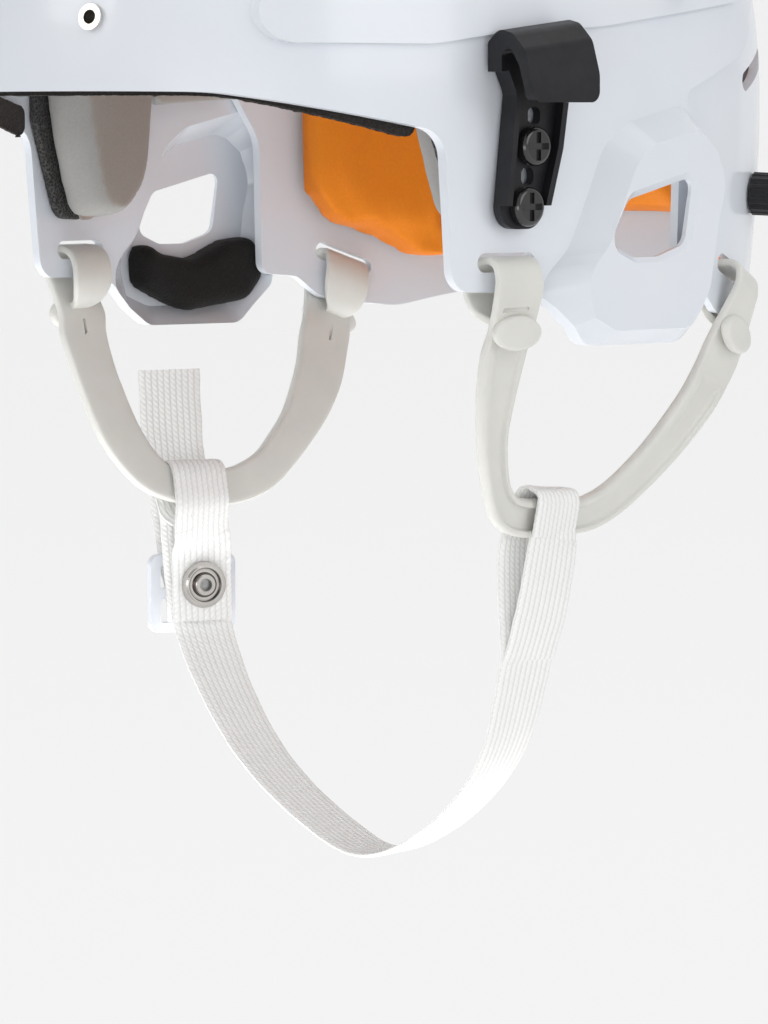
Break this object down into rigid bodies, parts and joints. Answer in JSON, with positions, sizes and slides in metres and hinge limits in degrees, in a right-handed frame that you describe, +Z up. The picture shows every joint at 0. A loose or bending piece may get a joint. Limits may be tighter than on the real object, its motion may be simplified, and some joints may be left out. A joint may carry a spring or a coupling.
{
  "type": "ice hockey helmet",
  "caption": "Two-part ice hockey helmet with ear guards, size adjustment, cage clips, ear loops, padding and a snap chin strap.",
  "frame": {"origin": "on the midline, level with the front brow rim, at the middle of the wearer's head", "axes": "front of the helmet is -Y, the wearer's left is +X, up is +Z"},
  "size_m": [0.2216, 0.2677, 0.3551],
  "materials": {
    "shell_white": "glossy moulded shell",
    "clip_black": "matte black moulding",
    "screw_black": "glossy black coated steel",
    "nut_steel": "plated steel",
    "nickel": "bright nickel plate",
    "knob_black": "black ribbed plastic",
    "foam_black": "closed-cell foam",
    "foam_edge": "dark edge foam",
    "pad_taupe": "brushed lining over foam",
    "pad_grey": "pale lining over foam",
    "pad_orange": "orange lining over foam",
    "loop_cream": "soft moulded plastic",
    "webbing_white": "ribbed webbing",
    "slider_white": "smooth plastic"
  },
  "bodies": {
    "helmet": {"front_shell": "shell_white", "cage_clip_left": "clip_black", "cage_clip_right": "clip_black", "clip_screws": "screw_black", "clip_nuts": "nut_steel", "visor_inserts": "nickel", "visor_screw": "nickel", "brow_trim": "foam_edge", "brow_pad": "pad_taupe", "temple_backing_left": "foam_black", "temple_backing_right": "foam_black", "temple_pad_left": "pad_taupe", "temple_pad_right": "pad_taupe", "side_pad_left": "pad_taupe", "side_pad_right": "pad_taupe", "ear_pad_left": "foam_black", "ear_pad_right": "foam_black", "crown_pad_left": "pad_taupe", "crown_pad_right": "pad_taupe", "crown_side_pad_left": "pad_taupe", "crown_side_pad_right": "pad_taupe", "ear_loop_left": "loop_cream", "ear_loop_right": "loop_cream", "ear_loop_rear_left": "loop_cream", "ear_loop_rear_right": "loop_cream"},
    "rear": {"rear_shell": "shell_white", "size_screws": "screw_black", "size_nuts": "nut_steel", "knob_studs": "nut_steel", "crown_rear_pad_left": "pad_orange", "crown_rear_pad_right": "pad_orange", "rear_pad_left": "pad_orange", "rear_pad_right": "pad_orange", "rear_centre_pad": "pad_orange", "rear_strip_pads": "pad_grey"},
    "knob_left": {"lock_knob_left": "knob_black"},
    "knob_right": {"lock_knob_right": "knob_black"},
    "strap": {"chin_strap": "webbing_white", "strap_slider": "slider_white", "strap_tail": "webbing_white", "snap_socket": "nickel"},
    "flap": {"snap_flap": "webbing_white", "snap_cap": "nickel"}
  },
  "joints": [
    {"name": "size_slide", "type": "slide", "parent": "helmet", "child": "rear", "axis": [0, -1, 0], "range_m": [0, 0.012], "deforming": ["ear_loop_rear_left", "ear_loop_rear_right"]},
    {"name": "knob_left_turn", "type": "hinge", "parent": "rear", "child": "knob_left", "pos_m": [0.07787, 0.09925, -0.02202], "axis": [0.9048, 0.4238, -0.0419], "continuous": true},
    {"name": "knob_right_turn", "type": "hinge", "parent": "rear", "child": "knob_right", "pos_m": [-0.07787, 0.09925, -0.02202], "axis": [-0.9048, 0.4238, -0.0419], "continuous": true},
    {"name": "strap_swing", "type": "hinge", "parent": "helmet", "child": "strap", "pos_m": [0, 0.009, -0.078], "axis": [1, 0, 0], "range_deg": [-12, 12]},
    {"name": "flap_open", "type": "hinge", "parent": "strap", "child": "flap", "pos_m": [-0.069, 0.0065, -0.127], "axis": [-0.33, -0.944, 0], "range_deg": [0, 75]}
  ]
}
